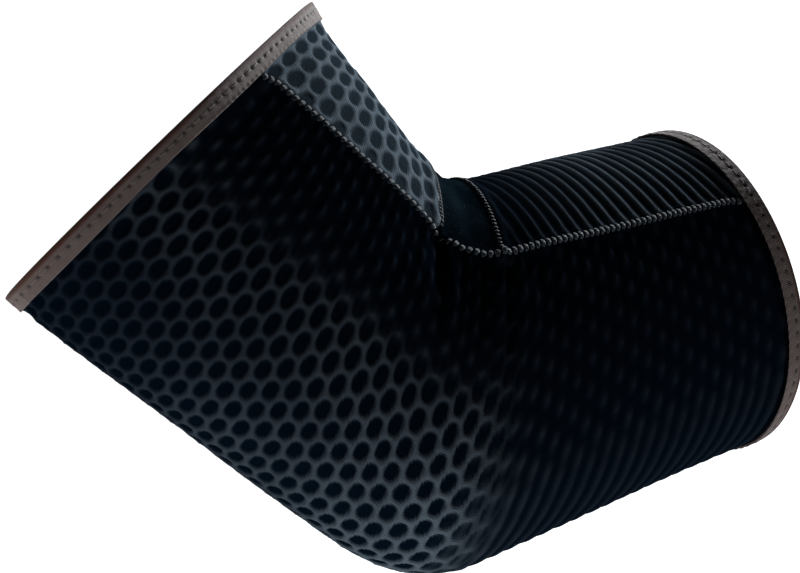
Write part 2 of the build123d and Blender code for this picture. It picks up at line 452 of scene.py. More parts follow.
# %% [markdown]
# ## Making meshes
#
# A ply is a thin closed shell: an outer grid, an inner grid and a border that joins their edges.
# The inner grid needs only half the points each way, because nobody sees it in the finished tube.
# Threads and tapes are sweeps: one outline carried along a path. NumPy makes the points, and
# Blender's mesh gets them all at once, which is far quicker than adding them one by one.

# %% Mesh builders
def make_piece(name, points, faces, cloth, masks=None):
    """A piece from points in mm and faces, with cloth coordinates in metres and vertex masks."""
    mesh = bpy.data.meshes.new(name)
    mesh.from_pydata((np.asarray(points) * MM).tolist(), [], faces)
    mesh.validate()
    mesh.shade_smooth()
    layer = mesh.uv_layers.new(name="cloth")
    loops = np.empty(len(mesh.loops), np.int32)
    mesh.loops.foreach_get("vertex_index", loops)
    layer.uv.foreach_set("vector", (cloth[loops] * MM).astype(np.float32).ravel())
    for mask, values in (masks or {}).items():
        attribute = mesh.attributes.new(mask, "FLOAT", "POINT")
        attribute.data.foreach_set("value", np.asarray(values, np.float32).ravel())
    piece = bpy.data.objects.new(name, mesh)
    bpy.context.scene.collection.objects.link(piece)
    return piece


def grid_faces(rows, columns, first=0, flip=False):
    """Quads of a grid of points whose numbers run along its columns, then down its rows."""
    number = first + np.arange(rows * columns).reshape(rows, columns)
    quads = np.stack((number[:-1, :-1], number[:-1, 1:], number[1:, 1:], number[1:, :-1]), -1)
    quads = quads.reshape(-1, 4)
    return (quads[:, ::-1] if flip else quads).tolist()


def rim(rows, columns, first=0):
    """The numbers of a grid's border points, once round."""
    number = first + np.arange(rows * columns).reshape(rows, columns)
    sides = number[0, :-1], number[:-1, -1], number[-1, :0:-1], number[:0:-1, 0]
    return np.concatenate(sides).tolist()


def shell(name, outer, inner, outer_cloth, masks=None):
    """A closed ply. The inner grid has the outer one's points, or every second one of them."""
    rows, columns = outer.shape[:2]
    inner_rows, inner_columns = inner.shape[:2]
    step = (rows - 1) // (inner_rows - 1)
    faces = grid_faces(rows, columns, 0, True)
    faces += grid_faces(inner_rows, inner_columns, rows * columns)
    outside, inside = rim(rows, columns), rim(inner_rows, inner_columns, rows * columns)
    for k in range(len(inside)):
        near, far = inside[k], inside[(k + 1) % len(inside)]
        run = [outside[(k * step + j) % len(outside)] for j in range(step + 1)]
        faces.append(run + [far, near])
    points = np.concatenate((outer.reshape(-1, 3), inner.reshape(-1, 3)))
    cloth = np.concatenate((outer_cloth.reshape(-1, 2), outer_cloth[::step, ::step].reshape(-1, 2)))
    for mask, values in (masks or {}).items():
        masks[mask] = np.concatenate((values.ravel(), np.zeros(inner_rows * inner_columns)))
    return make_piece(name, points, faces, cloth, masks)


def sweep(path, across, up, outline):
    """Points of an outline carried along a path; across and up are unit directions at each point."""
    outline = np.asarray(outline, float)
    sideways = outline[None, :, 0, None] * across[:, None]
    upwards = outline[None, :, 1, None] * up[:, None]
    return path[:, None] + sideways + upwards


def unit(vectors):
    return vectors / np.linalg.norm(vectors, axis=-1, keepdims=True)


def capped_tube(rings, first=0):
    """Faces of a closed tube through rings of points, with both ends capped."""
    count, sides = rings
    number = first + np.arange(count * sides).reshape(count, sides)
    turned = np.roll(number, -1, 1)
    quads = np.stack((number[:-1], turned[:-1], turned[1:], number[1:]), -1).reshape(-1, 4)
    return quads.tolist() + [number[0, ::-1].tolist(), number[-1].tolist()]


def round_outline(wide, high, sides):
    turn = np.arange(sides) * 2 * np.pi / sides
    return np.stack((np.cos(turn) * wide / 2, np.sin(turn) * high / 2), -1)


# %% [markdown]
# ## Shader groups
#
# Three effects come back in several materials, so each is a group of nodes that is built once. The
# knit group makes rows of tiny loops from the cloth coordinates. The lint group makes faint
# flecks and cloudy fading, which all black cloth picks up. The twist group makes the slanting
# grooves of a plied thread. Groups only give out masks, heights and colours. The shaders, and all
# values that are the same everywhere, stay in the materials.

# %% Group helpers
def new_group(name, inputs, outputs):
    """A shader node group with a Cloth input, float inputs {name: default} and float outputs."""
    group = bpy.data.node_groups.new(name, "ShaderNodeTree")
    group.interface.new_socket("Cloth", in_out="INPUT", socket_type="NodeSocketVector")
    for socket, default in inputs.items():
        made = group.interface.new_socket(socket, in_out="INPUT", socket_type="NodeSocketFloat")
        made.default_value = default
    for socket in outputs:
        group.interface.new_socket(socket, in_out="OUTPUT", socket_type="NodeSocketFloat")
    entry, leave = group.nodes.new("NodeGroupInput"), group.nodes.new("NodeGroupOutput")
    return group, entry, leave


def math_node(tree, operation, first, second=None, clamp=False):
    """One Math node. Its inputs are sockets or plain numbers, and it gives its output socket."""
    node = tree.nodes.new("ShaderNodeMath")
    node.operation, node.use_clamp = operation, clamp
    for socket, value in zip(node.inputs, (first, second)):
        if isinstance(value, (int, float)):
            socket.default_value = value
        elif value is not None:
            tree.links.new(value, socket)
    return node.outputs[0]


def noise_node(tree, vector, scale, detail):
    node = tree.nodes.new("ShaderNodeTexNoise")
    node.inputs["Detail"].default_value = detail
    if isinstance(scale, (int, float)):
        node.inputs["Scale"].default_value = scale
    else:
        tree.links.new(scale, node.inputs["Scale"])
    tree.links.new(vector, node.inputs["Vector"])
    return node.outputs["Fac"]


def remap(tree, value, low, high, to_low=0.0, to_high=1.0):
    node = tree.nodes.new("ShaderNodeMapRange")
    node.interpolation_type = "SMOOTHSTEP"
    for socket, number in zip(("From Min", "From Max", "To Min", "To Max"), (low, high, to_low, to_high)):
        node.inputs[socket].default_value = number
    tree.links.new(value, node.inputs["Value"])
    return node.outputs[0]


# %% Knit, lint and twist groups
def build_knit_group():
    """Rows of knitted loops: each wale is a chain of V shapes, with a valley between wales."""
    group, entry, leave = new_group("knit_loops", {"Wales": 1500.0, "Courses": 1900.0}, ("Height",))
    split = group.nodes.new("ShaderNodeSeparateXYZ")
    group.links.new(entry.outputs["Cloth"], split.inputs[0])
    wale = math_node(group, "MULTIPLY", split.outputs["Y"], entry.outputs["Wales"])
    course = math_node(group, "MULTIPLY", split.outputs["X"], entry.outputs["Courses"])
    inside = math_node(group, "SUBTRACT", math_node(group, "FRACT", wale), 0.5)
    off_middle = math_node(group, "ABSOLUTE", inside)
    slanted = math_node(group, "ADD", course, math_node(group, "MULTIPLY", off_middle, 1.1))
    loop = math_node(group, "PINGPONG", slanted, 0.5)
    loop = remap(group, loop, 0.02, 0.4)
    valley = remap(group, off_middle, 0.28, 0.5, 1.0, 0.0)
    height = math_node(group, "MULTIPLY", loop, valley)
    group.links.new(height, leave.inputs["Height"])
    return group


def build_lint_group():
    """Flecks of lint, and a slow cloudy fade."""
    scales = {"Fleck Scale": 2600.0, "Fade Scale": 28.0}
    group, entry, leave = new_group("lint_and_fade", scales, ("Flecks", "Fade"))
    stretch = group.nodes.new("ShaderNodeMapping")
    stretch.inputs["Scale"].default_value = (1.0, 0.45, 1.0)
    group.links.new(entry.outputs["Cloth"], stretch.inputs["Vector"])
    flecks = noise_node(group, stretch.outputs[0], entry.outputs["Fleck Scale"], 1.0)
    group.links.new(remap(group, flecks, 0.66, 0.80), leave.inputs["Flecks"])
    fade = noise_node(group, entry.outputs["Cloth"], entry.outputs["Fade Scale"], 3.0)
    group.links.new(remap(group, fade, 0.3, 0.7), leave.inputs["Fade"])
    return group


def build_twist_group():
    """Slanting grooves of a plied thread. The cloth coordinates run along and round the thread."""
    group, entry, leave = new_group("thread_twist", {"Turns": 900.0}, ("Height",))
    split = group.nodes.new("ShaderNodeSeparateXYZ")
    group.links.new(entry.outputs["Cloth"], split.inputs[0])
    along = math_node(group, "MULTIPLY", split.outputs["X"], entry.outputs["Turns"])
    around = math_node(group, "MULTIPLY", split.outputs["Y"], 1000.0)
    ply = math_node(group, "PINGPONG", math_node(group, "ADD", along, around), 0.5)
    group.links.new(remap(group, ply, 0.0, 0.3), leave.inputs["Height"])
    return group


knit_group, lint_group, twist_group = build_knit_group(), build_lint_group(), build_twist_group()
print("shader groups:", [g.name for g in bpy.data.node_groups])

# %% [markdown]
# ## Materials
#
# Black sports cloth isn't one black. The ridges go from a dark grey to a blue grey with one mask,
# which is partly rubbed wear and partly painted light: it is high where the lamps fall, on the
# upper front panel and round the elbow, and low as painted shade near the crook and under the top
# seam. The ridges pick up lint. The cell floors are a deeper teal black, painted lighter on the lit
# upper front panel. The tape is a taupe ribbed weave that turns dark rust along its fold. The seam
# thread is a dark grey. A little sheen on the lining, tape and threads stands for the fibre ends
# that glow at a grazing angle.

# %% Material helpers
def place_group(tree, group, cloth, **values):
    node = tree.nodes.new("ShaderNodeGroup")
    node.node_tree = group
    tree.links.new(cloth, node.inputs["Cloth"])
    for socket, value in values.items():
        node.inputs[socket.replace("_", " ")].default_value = value
    return node


def mix_colour(tree, share, first, second):
    """A colour mix. share is a socket, and each colour is a socket or three numbers."""
    node = tree.nodes.new("ShaderNodeMix")
    node.data_type = "RGBA"
    tree.links.new(share, node.inputs["Factor"])
    for socket, value in ((node.inputs["A"], first), (node.inputs["B"], second)):
        if isinstance(value, tuple):
            socket.default_value = (*value, 1)
        else:
            tree.links.new(value, socket)
    return node.outputs["Result"]


def add_bump(tree, shader, height, distance, strength=1.0):
    node = tree.nodes.new("ShaderNodeBump")
    node.inputs["Strength"].default_value = strength
    node.inputs["Distance"].default_value = distance
    tree.links.new(height, node.inputs["Height"])
    tree.links.new(node.outputs["Normal"], shader.inputs["Normal"])


def cloth_coordinates(tree):
    node = tree.nodes.new("ShaderNodeUVMap")
    node.uv_map = "cloth"
    return node.outputs["UV"]


def vertex_mask(tree, name):
    node = tree.nodes.new("ShaderNodeAttribute")
    node.attribute_name = name
    return node.outputs["Fac"]


def set_surface(shader, roughness, sheen=0.0, specular=0.3, tint=(1, 1, 1)):
    shader.inputs["Roughness"].default_value = roughness
    shader.inputs["Sheen Weight"].default_value = sheen
    shader.inputs["Sheen Roughness"].default_value = 0.45
    shader.inputs["Sheen Tint"].default_value = (*tint, 1)
    shader.inputs["Specular IOR Level"].default_value = specular


# %% The outer cloth, the crook knit and the lining
# paler cell floors are painted light; the worn ridge grey is partly wear, partly painted light
CELL_BLACK, CELL_PAINTED_LIT = (0.0007, 0.0021, 0.0042), (0.014, 0.020, 0.025)
RIDGE_GREY, WORN_AND_LIT_GREY = (0.005, 0.007, 0.011), (0.097, 0.118, 0.138)
KNIT_TEAL, KNIT_BRIGHT = (0.0008, 0.0024, 0.0040), (0.0080, 0.0150, 0.0210)
LINING_BLACK, LINING_BRIGHT = (0.010, 0.012, 0.015), (0.026, 0.029, 0.034)
LINT = (0.10, 0.105, 0.11)


def make_honeycomb_cloth():
    material, tree, shader = new_material("honeycomb_cloth")
    cloth, ridge, wear_and_light = cloth_coordinates(tree), vertex_mask(tree, "ridge"), vertex_mask(tree, "wear_and_light")
    knit = place_group(tree, knit_group, cloth, Wales=1500.0, Courses=1900.0)
    lint = place_group(tree, lint_group, cloth, Fleck_Scale=2600.0, Fade_Scale=28.0)
    patchy = math_node(tree, "ADD", math_node(tree, "MULTIPLY", lint.outputs["Fade"], 0.5), 0.75)
    # the wear mask is partly rubbed wear and partly painted light and shade
    ridge_colour = mix_colour(tree, math_node(tree, "MULTIPLY", wear_and_light, patchy, True), RIDGE_GREY, WORN_AND_LIT_GREY)
    floor_colour = mix_colour(tree, remap(tree, wear_and_light, 0.75, 0.95), CELL_BLACK, CELL_PAINTED_LIT)
    colour = mix_colour(tree, ridge, floor_colour, ridge_colour)
    # painted shade: the valleys between the knit's loops are darkened towards the cell black
    loops = math_node(tree, "MULTIPLY", knit.outputs["Height"], 0.55)
    shade = mix_colour(tree, math_node(tree, "SUBTRACT", 0.55, loops), colour, CELL_BLACK)
    flecks = math_node(tree, "MULTIPLY", lint.outputs["Flecks"], math_node(tree, "MULTIPLY", ridge, wear_and_light))
    tree.links.new(mix_colour(tree, flecks, shade, LINT), shader.inputs["Base Color"])
    set_surface(shader, 0.9, 0.0, 0.0)
    add_bump(tree, shader, knit.outputs["Height"], 0.00012, 0.8)
    return material


def make_plain_knit(name, base, bright, wales, courses, sheen):
    material, tree, shader = new_material(name)
    cloth = cloth_coordinates(tree)
    knit = place_group(tree, knit_group, cloth, Wales=wales, Courses=courses)
    lint = place_group(tree, lint_group, cloth, Fleck_Scale=2200.0, Fade_Scale=60.0)
    # painted light and shade: loop tops turn bright and the valleys stay dark, patchy with the fade
    light = math_node(tree, "MULTIPLY", knit.outputs["Height"], lint.outputs["Fade"])
    colour = mix_colour(tree, light, base, bright)
    flecks = math_node(tree, "MULTIPLY", lint.outputs["Flecks"], 0.35)
    tree.links.new(mix_colour(tree, flecks, colour, LINT), shader.inputs["Base Color"])
    set_surface(shader, 0.9, sheen, 0.0, (0.8, 0.9, 1.0))
    add_bump(tree, shader, knit.outputs["Height"], 0.00015)
    return material


honeycomb_cloth = make_honeycomb_cloth()
crook_knit_cloth = make_plain_knit("crook_knit_cloth", KNIT_TEAL, KNIT_BRIGHT, 1100.0, 1300.0, 0.0)
jersey = make_plain_knit("jersey_lining_cloth", LINING_BLACK, LINING_BRIGHT, 1300.0, 1600.0, 0.03)

# %% Foam, threads and tape
FOAM_PORE, FOAM_CHARCOAL = (0.006, 0.006, 0.007), (0.022, 0.022, 0.024)
TAPE_TAUPE, TAPE_LIGHT = (0.050, 0.034, 0.030), (0.100, 0.074, 0.066)
TAPE_FOLD, TAPE_HOLE = (0.034, 0.0075, 0.002), (0.008, 0.007, 0.007)
SEAM_DARK, SEAM_LIGHT = (0.004, 0.006, 0.008), (0.014, 0.018, 0.023)
BINDING_DARK, BINDING_LIGHT = (0.045, 0.035, 0.031), (0.115, 0.095, 0.088)


def make_foam():
    """Closed-cell foam: matt charcoal with fine pores, seen only in a cut edge."""
    material, tree, shader = new_material("neoprene_foam_core")
    place = tree.nodes.new("ShaderNodeTexCoord").outputs["Object"]
    pores = noise_node(tree, place, 3200.0, 1.0)
    colour = mix_colour(tree, remap(tree, pores, 0.3, 0.6), FOAM_PORE, FOAM_CHARCOAL)
    tree.links.new(colour, shader.inputs["Base Color"])
    set_surface(shader, 0.95)
    add_bump(tree, shader, pores, 0.0002)
    return material


def make_thread(name, dark, light, roughness):
    material, tree, shader = new_material(name)
    cloth = cloth_coordinates(tree)
    twist = place_group(tree, twist_group, cloth, Turns=1100.0)
    lint = place_group(tree, lint_group, cloth, Fleck_Scale=3000.0, Fade_Scale=90.0)
    fade = math_node(tree, "ADD", lint.outputs["Fade"], 0.4)
    # painted light and shade: the plies turn light and the grooves between them stay dark
    share = math_node(tree, "MULTIPLY", twist.outputs["Height"], fade, True)
    tree.links.new(mix_colour(tree, share, dark, light), shader.inputs["Base Color"])
    set_surface(shader, roughness, 0.1, 0.15)
    add_bump(tree, shader, twist.outputs["Height"], 0.0001)
    return material


def make_tape():
    """Ribbed tape: ribs across its width, darker at the needle holes, rust at the fold."""
    material, tree, shader = new_material("ribbed_binding_tape")
    cloth, holes, fold = cloth_coordinates(tree), vertex_mask(tree, "hole"), vertex_mask(tree, "fold")
    split = tree.nodes.new("ShaderNodeSeparateXYZ")
    tree.links.new(cloth, split.inputs[0])
    ribs = math_node(tree, "PINGPONG", math_node(tree, "MULTIPLY", split.outputs["Y"], 1900.0), 0.5)
    picks = math_node(tree, "PINGPONG", math_node(tree, "MULTIPLY", split.outputs["X"], 2600.0), 0.5)
    picks = math_node(tree, "MULTIPLY", remap(tree, picks, 0.0, 0.3), 0.35)
    # painted light and shade: the rib tops turn light and the grooves between them stay darker
    weave = math_node(tree, "ADD", remap(tree, ribs, 0.0, 0.35), picks)
    lint = place_group(tree, lint_group, cloth, Fleck_Scale=1800.0, Fade_Scale=70.0)
    fade = math_node(tree, "ADD", math_node(tree, "MULTIPLY", lint.outputs["Fade"], 0.4), 0.42)
    share = math_node(tree, "MULTIPLY", weave, fade, True)
    colour = mix_colour(tree, share, TAPE_TAUPE, TAPE_LIGHT)
    colour = mix_colour(tree, math_node(tree, "MULTIPLY", fold, 0.9), colour, TAPE_FOLD)
    colour = mix_colour(tree, holes, colour, TAPE_HOLE)
    tree.links.new(colour, shader.inputs["Base Color"])
    set_surface(shader, 0.85, 0.1, 0.1, (1.0, 0.95, 0.92))
    add_bump(tree, shader, weave, 0.00012)
    return material


foam = make_foam()
seam_yarn = make_thread("grey_seam_thread", SEAM_DARK, SEAM_LIGHT, 0.9)
binding_yarn = make_thread("taupe_binding_thread", BINDING_DARK, BINDING_LIGHT, 0.8)
binding_tape_weave = make_tape()
print("materials:", sorted(m.name for m in bpy.data.materials))

# %% [markdown]
# ## The panels
#
# The back panel wraps the elbow side from one side seam to the other. The two front panels cover
# the crook side of the upper arm and the forearm. Each gets three plies. The outer cloth carries
# the honeycomb, which flattens towards the seams, where the stitches pull it down. Next to the
# crook panel the front panels' edges are turned under, so they end in a soft raised lip.
#
# Each panel has its own line in the tables: the stations it spans, how far apart its rows and
# columns of cells are, and how far they lean. The plies' rises are the frame's own.

# %% Panel tables
FACE, CORE, LINING, CROOK_KNIT = (0.0, -0.8), (-0.9, -2.9), (-3.0, -3.5), (-0.3, -1.5)
EDGE_CUT = 0.08  # stations
STEPS_PER_ROW, STEP_ACROSS = 7, 0.66
ROWS = {  # mm between rows of cells, at the key stations
    "back_panel": (3.9, 4.8, 6.5, 7.0),
    "upper_front_panel": (4.55, 4.55, 4.55, 4.55),
    "forearm_front_panel": (4.4, 4.4, 4.4, 4.1),
}
FIRST_ROW = 0.35
FRONT_PITCHES = {"upper_front_panel": 10.0, "forearm_front_panel": 11.0}
ELBOW_PITCH, SEAM_PITCH, FOREARM_PITCH = 6.5, 9.6, 9.3  # the back panel is stretched near its seams
STRETCH_GIRTH = (15, 45)  # mm from the elbow line, over which its pitch grows
FOREARM_BLEND = (2.4, 3.2)  # stations
# how many mm the columns move round the arm with each row
COLUMN_DRIFT = {"back_panel": 0.4, "upper_front_panel": 1.3, "forearm_front_panel": 0.0}
LEAN_STATIONS, BACK_LEAN = (0.4, 1.0, 1.6, 2.2, 3.0, 5.0), (-5.0, -4.0, 3.0, 9.0, 7.0, 7.0)  # degrees
FOREARM_FRONT_LEAN = -11.6
RELIEF = {"back_panel": 1.0, "upper_front_panel": 0.45, "forearm_front_panel": 0.9}
SPANS = {
    "back_panel": (EDGE_CUT, 5 - EDGE_CUT),
    "upper_front_panel": (EDGE_CUT, CROOK_EDGES[0] - 0.005),
    "forearm_front_panel": (CROOK_EDGES[1] + 0.005, 5 - EDGE_CUT),
}
SEAM_HALF_GAP = 0.02
# the angle of the line that each panel's rows of cells are counted along
MEASURED_AT = {"back_panel": 40.0, "upper_front_panel": 150.0, "forearm_front_panel": 150.0}
EDGE_PULL, EDGE_PULL_WIDTH = 0.45, 2.6
LIP_RISE, LIP_WIDTH, LIP_MIDDLE = 0.7, 2.6, 1.1
SLACK_STATIONS, SLACK_GIRTH, RING_GIRTH = (2.35, 3.1), (46, 64), (8, 36)
# partly rubbed wear, partly painted light where the lamps fall and painted shade elsewhere
WEAR_AND_LIGHT_LEAST, WEAR_AND_LIGHT_UPPER_FRONT, WEAR_AND_LIGHT_FOREARM_FRONT = 0.03, 0.96, 0.68
WEAR_AND_LIGHT_ELBOW, WEAR_AND_LIGHT_CUFF_SIDE, WEAR_AND_LIGHT_MIDDLE = 0.28, 0.24, 0.20


def panel_rows(panel):
    """Stations for a panel's grid, an even count of steps, and each one's place in cell rows."""
    first, last = SPANS[panel]
    u = np.linspace(first, last, 1500)
    line = MEASURED_AT[panel]
    length = length_along(u, line)
    spacing = np.interp(u, KEY_STATIONS, ROWS[panel])
    rate = (1 / spacing[1:] + 1 / spacing[:-1]) / 2
    row = np.concatenate(([0.0], np.cumsum(np.diff(length) * rate)))
    count = 2 * int(np.ceil(row[-1] * STEPS_PER_ROW / 2))
    even = np.linspace(0, row[-1], count + 1)
    return np.interp(even, row, u), even + FIRST_ROW, np.interp(even, row, length)


def panel_grid(panel, u):
    """Angles of a panel's grid, an even count of columns, and the girth in mm at each point."""
    angles, girth = girth_tables(u)
    edge = np.array([np.interp(seam_angle(s), angles, g) for s, g in zip(u, girth)])
    if panel == "back_panel":
        low, high, middle = -edge + SEAM_HALF_GAP, edge - SEAM_HALF_GAP, np.zeros(len(u))
    else:
        middle = girth[:, -1]
        low, high = edge + SEAM_HALF_GAP, 2 * middle - edge - SEAM_HALF_GAP
    count = 2 * int(np.ceil((high - low).max() / STEP_ACROSS / 2))
    place = low[:, None] + (high - low)[:, None] * np.linspace(0, 1, count + 1)
    around = np.concatenate((girth, 2 * girth[:, -1:] - girth[:, -2::-1]), 1)
    turns = np.concatenate((angles, 360 - angles[-2::-1]))
    around = np.concatenate((-around[:, :0:-1], around), 1)
    turns = np.concatenate((-turns[:0:-1], turns))
    angle = np.array([np.interp(p, a, turns) for p, a in zip(place, around)])
    return angle, place - middle[:, None], np.minimum(place - low[:, None], high[:, None] - place)


# %% Panel plies
def signed(angle):
    """Angles from -180 to 180, for the folds."""
    return (np.asarray(angle) + 180) % 360 - 180


def back_columns(u, girth):
    """Columns of cells on the back panel. They are wider apart near the seams and on the forearm."""
    walk = np.linspace(0, 120, 1201)
    pitch = ELBOW_PITCH + (SEAM_PITCH - ELBOW_PITCH) * smooth(walk, *STRETCH_GIRTH)
    columns = np.concatenate(([0.0], np.cumsum(np.diff(walk) / pitch[1:])))
    stretched = np.sign(girth) * np.interp(np.abs(girth), walk, columns)
    return stretched + (girth / FOREARM_PITCH - stretched) * smooth(u, *FOREARM_BLEND)[:, None]


def slack(panel, u, girth):
    """(slack, joined): 1 where the cells have closed up to dashes, and 1 where those make rings."""
    forearm = smooth(u, *SLACK_STATIONS)[:, None]
    if panel == "back_panel":
        # the band under the top seam keeps only dashes of ridge colour: painted shade
        slack_and_shade_under_seam = smooth(girth, *SLACK_GIRTH) * (1 - forearm)
        joined = forearm * (1 - smooth(np.abs(girth), *RING_GIRTH))
        return np.maximum(forearm, slack_and_shade_under_seam), joined
    return forearm + 0 * girth, forearm + 0 * girth


def wear_and_painted_light(panel, u, angle, girth):
    """How far the ridges turn pale, 0 to 1: partly rubbed wear, partly painted light and shade."""
    u = u[:, None]
    if panel == "upper_front_panel":
        return WEAR_AND_LIGHT_UPPER_FRONT + 0 * girth
    if panel == "forearm_front_panel":
        return WEAR_AND_LIGHT_LEAST + WEAR_AND_LIGHT_FOREARM_FRONT * smooth(u, 2.95, 3.6) + 0 * girth
    elbow = smooth(u, 1.55, 2.2) * (1 - smooth(u, 2.45, 3.05)) * (1 - smooth(angle, 30, 75))
    cuff_side = (1 - smooth(u, 0.9, 1.7)) * smooth(angle, 30, 60) * (1 - smooth(angle, 70, 88))
    middle = WEAR_AND_LIGHT_MIDDLE * smooth(u, 1.0, 1.8) * (1 - smooth(u, 2.5, 3.3)) * (1 - smooth(angle, 62, 84))
    return WEAR_AND_LIGHT_LEAST + WEAR_AND_LIGHT_ELBOW * elbow + WEAR_AND_LIGHT_CUFF_SIDE * cuff_side + middle


def outer_relief(panel, u, row, angle, girth, from_edge, length):
    """(rise, ridge, wear and painted light) of the honeycomb cloth over its smooth surface."""
    if panel == "back_panel":
        column, lean = back_columns(u, girth), np.interp(u, LEAN_STATIONS, BACK_LEAN)
    else:
        column = girth / FRONT_PITCHES[panel]
        lean = np.full(len(u), FOREARM_FRONT_LEAN if panel == "forearm_front_panel" else 0.0)
    column = column - COLUMN_DRIFT[panel] / SEAM_PITCH * row[:, None]
    spacing = np.interp(u, KEY_STATIONS, ROWS[panel])
    row = row[:, None] - (np.tan(np.radians(lean)) / spacing)[:, None] * girth
    ridge, node = honeycomb(row, column)
    slackness, joined = slack(panel, u, girth)
    ridge = ridge + (dashes(row, column, joined) - ridge) * slackness
    node = node * (1 - slackness)
    pulled = 1 - smooth(from_edge, 0.2, EDGE_PULL_WIDTH)
    depth = CELL_DEPTH * RELIEF[panel]
    rise = -depth * (1 - ridge) * (1 - 0.8 * pulled) + NODE_RISE * RELIEF[panel] * node * (1 - pulled)
    rise -= EDGE_PULL * pulled
    if panel != "back_panel":
        to_crook = (length[-1] - length) if panel == "upper_front_panel" else length
        lip = np.exp(-((to_crook - LIP_MIDDLE) / LIP_WIDTH * 1.6) ** 2)[:, None]
        rise = rise * (1 - 0.6 * lip) + LIP_RISE * lip * (1 - pulled)
    return rise, ridge * (1 - 0.6 * pulled), wear_and_painted_light(panel, u, angle, girth)


panel_pieces = {}
for panel in SPANS:
    u, row, length = panel_rows(panel)
    angle, girth, from_edge = panel_grid(panel, u)
    stations = np.broadcast_to(u[:, None], angle.shape)
    fold = folds(stations, signed(angle))
    cloth = np.stack((np.broadcast_to(length[:, None], angle.shape), girth), -1)
    rise, ridge, wear_and_light = outer_relief(panel, u, row, angle, girth, from_edge, length)
    outer = wall(stations, angle, FACE[0] + fold + rise)
    half = (slice(None, None, 2), slice(None, None, 2))
    under = wall(stations[half], angle[half], FACE[1] + fold[half])
    face = shell(f"{panel}_honeycomb_cloth", outer, under, cloth, {"ridge": ridge, "wear_and_light": wear_and_light})
    face.data.materials.append(honeycomb_cloth)
    plies = {"face_fabric": face}
    for ply, (top, bottom), finish in (("foam_core", CORE, foam), ("lining", LINING, jersey)):
        over = wall(stations[half], angle[half], top + fold[half])
        below = wall(stations[half], angle[half], bottom + fold[half])
        piece = shell(f"{panel}_{ply}_ply", over, below, cloth[half])
        piece.data.materials.append(finish)
        plies[ply] = piece
    panel_pieces[panel] = plies
    print(panel, "grid", angle.shape, "rows", round(row[-1], 1), "girth", round(float(np.ptp(girth[0])), 1))

# %% [markdown]
# ## The crook panel
#
# Thick foam would bunch up inside the bend, so the makers set in a single ply of stretch knit. It
# sinks a little between the two front panels and shows fine wrinkles that run round the arm.

# %% Crook panel
CROOK_INSET = -0.004  # stations; the knit reaches the cut edges of the front panels
CROOK_SIDE_INSET = 0.05  # degrees from the side seams
CROOK_HOLLOW = 0.3
WRINKLES = ((0.30, 9.0, 0.3), (0.18, 17.0, 1.1))  # mm, waves, phase
KNIT_PER_STATION, KNIT_ROUND = 25.0, 130.0  # mm of knit along the arm and round it
crook_u = np.linspace(CROOK_EDGES[0] + CROOK_INSET, CROOK_EDGES[1] - CROOK_INSET, 49)
crook_share = (crook_u - crook_u[0])[:, None] / np.ptp(crook_u)
crook_span = np.linspace(0, 1, 201)
crook_low = seam_angle(crook_u)[:, None] + CROOK_SIDE_INSET
crook_angle = crook_low + (360 - 2 * crook_low) * crook_span
crook_stations = np.broadcast_to(crook_u[:, None], crook_angle.shape)
middle_share = np.sin(np.pi * crook_share) * np.abs(np.sin(np.pi * crook_span)) ** 0.35
crook_fold = -CROOK_HOLLOW * middle_share
for size, waves, phase in WRINKLES:
    wave = np.sin(waves * crook_stations + 3 * crook_span + phase)
    crook_fold = crook_fold + size * middle_share * wave
crook_length = (crook_stations - CROOK_EDGES[0]) * KNIT_PER_STATION
crook_cloth = np.stack((crook_length, crook_span * KNIT_ROUND + 0 * crook_stations), -1)
crook_outer = wall(crook_stations, crook_angle, CROOK_KNIT[0] + crook_fold)
crook_inner = wall(crook_stations, crook_angle, CROOK_KNIT[1] + crook_fold)
crook_panel = shell("crook_panel_stretch_knit", crook_outer, crook_inner, crook_cloth)
crook_panel.data.materials.append(crook_knit_cloth)
print("crook panel", crook_outer.shape[:2])

# %% [markdown]
# ## The seams
#
# A flat seam joins the cloths edge to edge. On the outside its cover thread makes a row of short
# slanting beads. On the inside the looper thread runs to and fro in a zigzag. Both are swept
# strands that dip into the cloth where the needle goes through.
#
# A seam is given as a path of stations and angles over the wall. The strands are laid across it in
# lengths measured on the wall, so the stitches keep their size round the bend.

# %% Seam strands
STITCH_PITCH = 2.2
BEAD_WIDTH, BEAD_SLANT = 2.5, 1.1
STRAND_WIDE, STRAND_HIGH, STRAND_SIDES = 1.5, 0.42, 8
COVER_RISE, LOOPER_RISE = 0.14, -3.72
STRAND_DIP = 0.55
BEAD_TAPER = 0.55
BEAD_TWIST, TWIST_SHIFT = 1.4, 0.37  # mm of twist on half a bead, and from one bead to the next


def seam_frame(u, angle, rise):
    """Points of a seam's path with unit directions along it, across it and out of the wall."""
    fold = folds(u, signed(angle))
    path = wall(u, angle, rise + fold)
    out = unit(wall(u, angle, rise + fold + 1.0) - path)
    along = unit(np.gradient(path, axis=0))
    across = unit(np.cross(out, along))
    out = unit(np.cross(along, across))
    return path, along, across, out


def spaced(path, pitch):
    """Even places along a path, as numbers of its points with the part in between counted."""
    run = np.concatenate(([0.0], np.cumsum(np.linalg.norm(np.diff(path, axis=0), axis=1))))
    count = max(2, int(run[-1] / pitch))
    places = (np.arange(count) + 0.5) * run[-1] / count
    return np.interp(places, run, np.arange(len(path)))


def at(values, places):
    """Values between the points of a path."""
    low = np.clip(places.astype(int), 0, len(values) - 2)
    share = (places - low)[:, None]
    return values[low] * (1 - share) + values[low + 1] * share


def strand(line, up, size):
    """Rings of points of a round strand along a line, with its flat side turned up."""
    ahead = unit(np.gradient(line, axis=0))
    flank = unit(np.cross(ahead, up))
    return sweep(line, flank, np.cross(flank, ahead), round_outline(*size, STRAND_SIDES))


